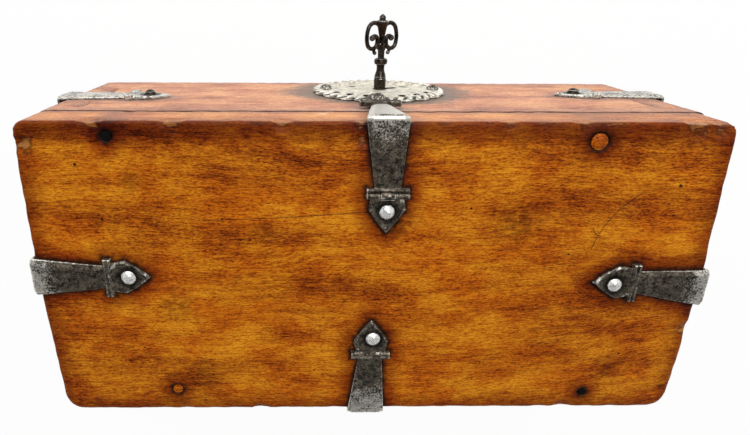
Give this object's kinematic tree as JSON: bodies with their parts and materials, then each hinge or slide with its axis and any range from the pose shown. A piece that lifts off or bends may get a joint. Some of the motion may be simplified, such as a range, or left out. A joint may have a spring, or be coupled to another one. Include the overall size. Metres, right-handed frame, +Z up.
{
  "type": "coffer chest",
  "caption": "Low rectangular dovetailed coffer with a hinged slab lid, iron strapwork, a hasp that swings into a round pierced lock plate, and a scroll-bowed pipe key.",
  "frame": {"origin": "middle of the flat underside that the coffer stands on", "axes": "+Z up; -Y is the lock side; +X along the length, to the right of someone who faces the lock"},
  "size_m": [0.3474, 0.2117, 0.1329],
  "materials": {
    "lid_wood": "honey-amber, waxed, dark stains by the iron, worn arrises",
    "wall_wood": "redder brown, waxed, dark end grain in the dovetails",
    "bottom_wood": "dry, greyed, unwaxed",
    "peg_wood": "dark end grain",
    "strap_iron": "forged, pitted black with bright worn arrises",
    "rivet_iron": "worn bright",
    "plate_iron": "thin sheet, pale and dull, brown in the hollows",
    "lock_iron": "filed, oiled, brown",
    "key_iron": "dark, polished by handling"
  },
  "bodies": {
    "carcase": {"front_board": "wall_wood", "back_board": "wall_wood", "left_end_board": "wall_wood", "right_end_board": "wall_wood", "bottom_board": "bottom_wood", "bottom_nails": "strap_iron", "hinge_lower_leaf": "strap_iron", "hinge_pin": "strap_iron", "hinge_lower_rivet": "rivet_iron", "lock_plate": "plate_iron", "plate_nails": "plate_iron", "lock_back_plate": "lock_iron", "lock_pillars": "lock_iron", "lock_ward": "lock_iron", "bolt_guides": "lock_iron", "bolt_spring": "lock_iron", "corner_strap_front_left": "strap_iron", "corner_rivets_front_left": "rivet_iron", "corner_strap_front_right": "strap_iron", "corner_rivets_front_right": "rivet_iron", "corner_strap_back_left": "strap_iron", "corner_rivets_back_left": "rivet_iron", "corner_strap_back_right": "strap_iron", "corner_rivets_back_right": "rivet_iron"},
    "lid": {"lid_board": "lid_wood", "lid_pegs": "peg_wood", "lid_nail_stubs": "strap_iron", "lid_strap_left": "strap_iron", "lid_strap_right": "strap_iron", "lid_strap_rivets": "rivet_iron", "strap_bosses": "rivet_iron", "hinge_upper_leaf": "strap_iron", "hinge_upper_rivet": "rivet_iron", "hasp_leaf": "strap_iron", "hasp_leaf_rivet": "rivet_iron", "hasp_pin": "strap_iron"},
    "hasp": {"hasp": "strap_iron", "hasp_staple": "strap_iron", "hasp_stud": "rivet_iron"},
    "bolt": {"lock_bolt": "lock_iron"},
    "key_post": {"drill_pin": "lock_iron"},
    "key": {"key": "key_iron"}
  },
  "joints": [
    {"name": "lid_hinge", "type": "hinge", "parent": "carcase", "child": "lid", "pos_m": [0.0012, 0.08375, 0.1036], "axis": [-1, 0, 0], "range_deg": [0, 100]},
    {"name": "hasp_hinge", "type": "hinge", "parent": "lid", "child": "hasp", "pos_m": [-0.0049, -0.0456, 0.13075], "axis": [-1, 0, 0], "range_deg": [0, 150]},
    {"name": "key_turn", "type": "hinge", "parent": "carcase", "child": "key_post", "pos_m": [-0.0105, -0.081, 0.035], "axis": [0, 1, 0], "range_deg": [0, 180]},
    {"name": "key_withdraw", "type": "slide", "parent": "key_post", "child": "key", "axis": [0, -1, 0], "range_m": [0, 0.045]},
    {"name": "bolt_throw", "type": "slide", "parent": "carcase", "child": "bolt", "axis": [1, 0, 0], "range_m": [0, 0.009]}
  ],
  "couplings": [
    {"joint": "hasp_hinge", "follows": "lid_hinge", "ratio": 1.5},
    {"joint": "bolt_throw", "follows": "key_turn", "m_per_rad": 0.002864}
  ]
}
